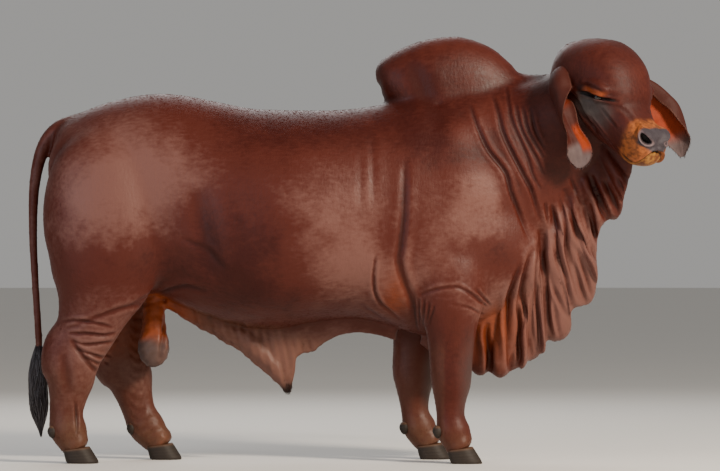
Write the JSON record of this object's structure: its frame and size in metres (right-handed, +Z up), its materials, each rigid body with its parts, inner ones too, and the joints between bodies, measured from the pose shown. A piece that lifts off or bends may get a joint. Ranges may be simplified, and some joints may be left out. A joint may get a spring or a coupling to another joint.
{
  "type": "brahman bull",
  "caption": "Life-size standing humped bull with long hanging ears, a pleated dewlap and its head turned to the right, as a still museum figure.",
  "frame": {"origin": "middle of the bounding box, at the level of the soles", "axes": "+X forwards along the trunk, +Y towards the bull's left side, +Z up"},
  "size_m": [2.7248, 0.8312, 1.7408],
  "materials": {
    "hide": "satin",
    "ear": "satin",
    "horny": "matte",
    "hair": "matte",
    "eye": "gloss"
  },
  "bodies": {
    "root": {"torso": "hide", "neck": "hide", "hump": "hide", "head": "hide", "dewlap": "hide", "sheath": "hide", "scrotum": "hide", "tail": "hide", "leg_fore_right": "hide", "leg_fore_left": "hide", "leg_hind_right": "hide", "leg_hind_left": "hide", "ear_right": "ear", "ear_left": "ear", "eye_right": "eye", "eye_left": "eye", "tail_switch": "hair", "claw_fore_right_outer": "horny", "claw_fore_right_inner": "horny", "claw_fore_left_outer": "horny", "claw_fore_left_inner": "horny", "claw_hind_right_outer": "horny", "claw_hind_right_inner": "horny", "claw_hind_left_outer": "horny", "claw_hind_left_inner": "horny", "dewclaw_fore_right_outer": "horny", "dewclaw_fore_right_inner": "horny", "dewclaw_fore_left_outer": "horny", "dewclaw_fore_left_inner": "horny", "dewclaw_hind_right_outer": "horny", "dewclaw_hind_right_inner": "horny", "dewclaw_hind_left_outer": "horny", "dewclaw_hind_left_inner": "horny"}
  },
  "joints": []
}
